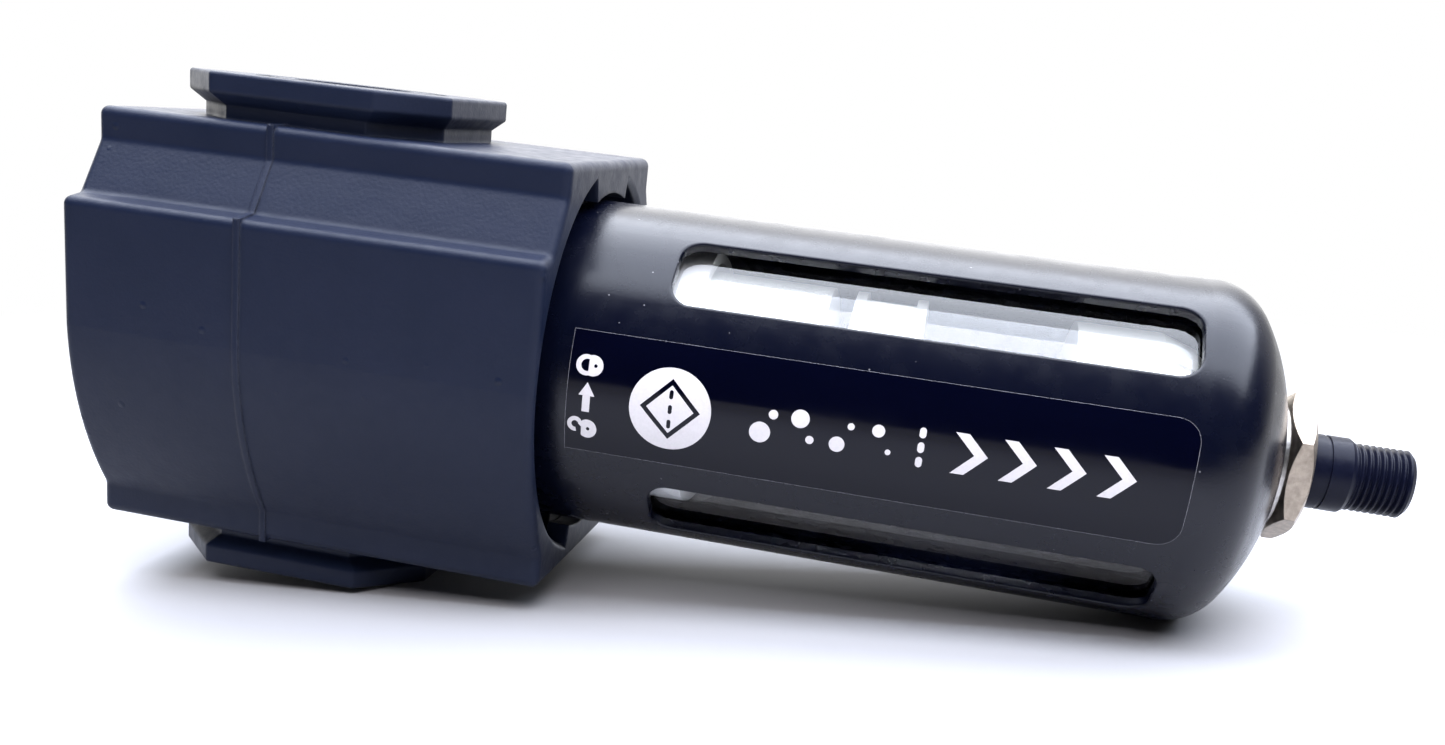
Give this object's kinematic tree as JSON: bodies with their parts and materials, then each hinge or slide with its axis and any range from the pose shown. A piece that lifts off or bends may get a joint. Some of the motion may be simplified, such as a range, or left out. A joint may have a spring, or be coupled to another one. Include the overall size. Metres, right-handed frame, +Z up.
{
  "type": "compressed air filter",
  "caption": "Plug-in compressed air filter: die-cast body with clamp flanges, clear bowl in a slotted metal guard with a bayonet lock, and an automatic float drain with a threaded outlet.",
  "frame": {"origin": "where the line of the two ports crosses the axis of the bowl", "axes": "+X along the ports, from inlet to outlet; +Y to the rear, away from the label; +Z up the bowl axis, towards the body's closed top"},
  "size_m": [0.075, 0.0624, 0.192],
  "materials": {
    "body_paint": "matt dark navy-charcoal paint on die-cast metal",
    "guard_coat": "satin black powder coat",
    "label_film": "glossy black label with white print",
    "clear_plastic": "clear moulded polycarbonate",
    "white_plastic": "white moulded acetal",
    "sintered_plastic": "white sintered porous plastic",
    "float_foam": "closed-cell foam",
    "black_plastic": "black moulded nylon",
    "plated_steel": "zinc-plated steel",
    "plated_brass": "nickel-plated brass",
    "seal_rubber": "black nitrile rubber"
  },
  "bodies": {
    "head": {"filter_body": "body_paint", "inlet_port_seal": "seal_rubber", "outlet_port_seal": "seal_rubber", "air_deflector": "white_plastic", "filter_element": "sintered_plastic", "element_upper_gasket": "seal_rubber", "element_lower_gasket": "seal_rubber", "retaining_stud": "plated_steel", "element_nut": "plated_steel", "quiet_zone_baffle": "white_plastic"},
    "bowl_assembly": {"bowl_guard": "guard_coat", "guard_label": "label_film", "bowl": "clear_plastic", "bowl_seal": "seal_rubber", "drain_body": "black_plastic", "drain_seal": "seal_rubber", "drain_washer": "plated_steel", "drain_nut": "plated_brass", "piston_spring": "plated_steel", "pilot_cap": "white_plastic", "float_housing": "white_plastic"},
    "float": {"drain_float": "float_foam", "pilot_seal": "seal_rubber"},
    "piston": {"drain_piston": "black_plastic", "valve_seal": "seal_rubber", "piston_seal": "seal_rubber"}
  },
  "joints": [
    {"name": "bowl_twist", "type": "hinge", "parent": "head", "child": "bowl_assembly", "pos_m": [0, 0, -0.041], "axis": [0, 0, 1], "range_deg": [-45, 0]},
    {"name": "float_lift", "type": "slide", "parent": "bowl_assembly", "child": "float", "axis": [0, 0, 1], "range_m": [0, 0.002]},
    {"name": "piston_stroke", "type": "slide", "parent": "bowl_assembly", "child": "piston", "axis": [0, 0, 1], "range_m": [-0.002, 0], "stiffness_N_per_m": 800, "springref_m": 0.001, "deforming": ["piston_spring"]}
  ]
}
